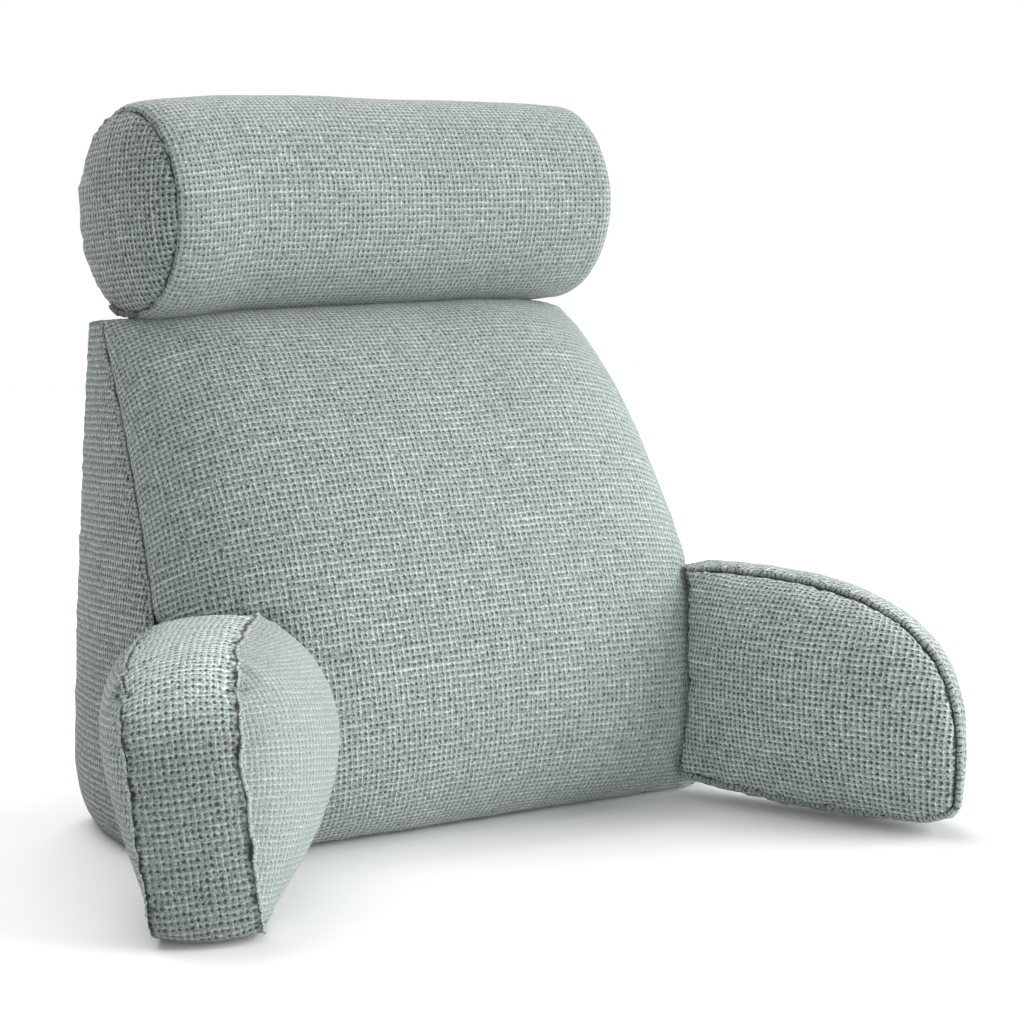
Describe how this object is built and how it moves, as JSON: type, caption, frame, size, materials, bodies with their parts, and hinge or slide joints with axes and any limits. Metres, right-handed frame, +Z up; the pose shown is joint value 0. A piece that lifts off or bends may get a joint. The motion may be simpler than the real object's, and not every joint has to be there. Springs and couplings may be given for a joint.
{
  "type": "reading pillow",
  "caption": "Stuffed reading pillow with a leaning back, forward arms and a neck roll along the top, in coarse woven cloth.",
  "frame": {"origin": "on the surface that the pillow stands on, below the middle of its bounding box", "axes": "+Z up, +X to the right of someone facing the pillow's front, -Y the way the front panel faces"},
  "size_m": [0.7718, 0.6208, 0.6883],
  "materials": {
    "back_wedge": "coarse grey-green basket weave, matt",
    "arm_left": "coarse grey-green basket weave, matt",
    "arm_right": "coarse grey-green basket weave, matt",
    "neck_roll": "coarse grey-green basket weave, matt"
  },
  "bodies": {
    "root": {"back_wedge": "back_wedge", "arm_left": "arm_left", "arm_right": "arm_right", "neck_roll": "neck_roll"}
  },
  "joints": []
}
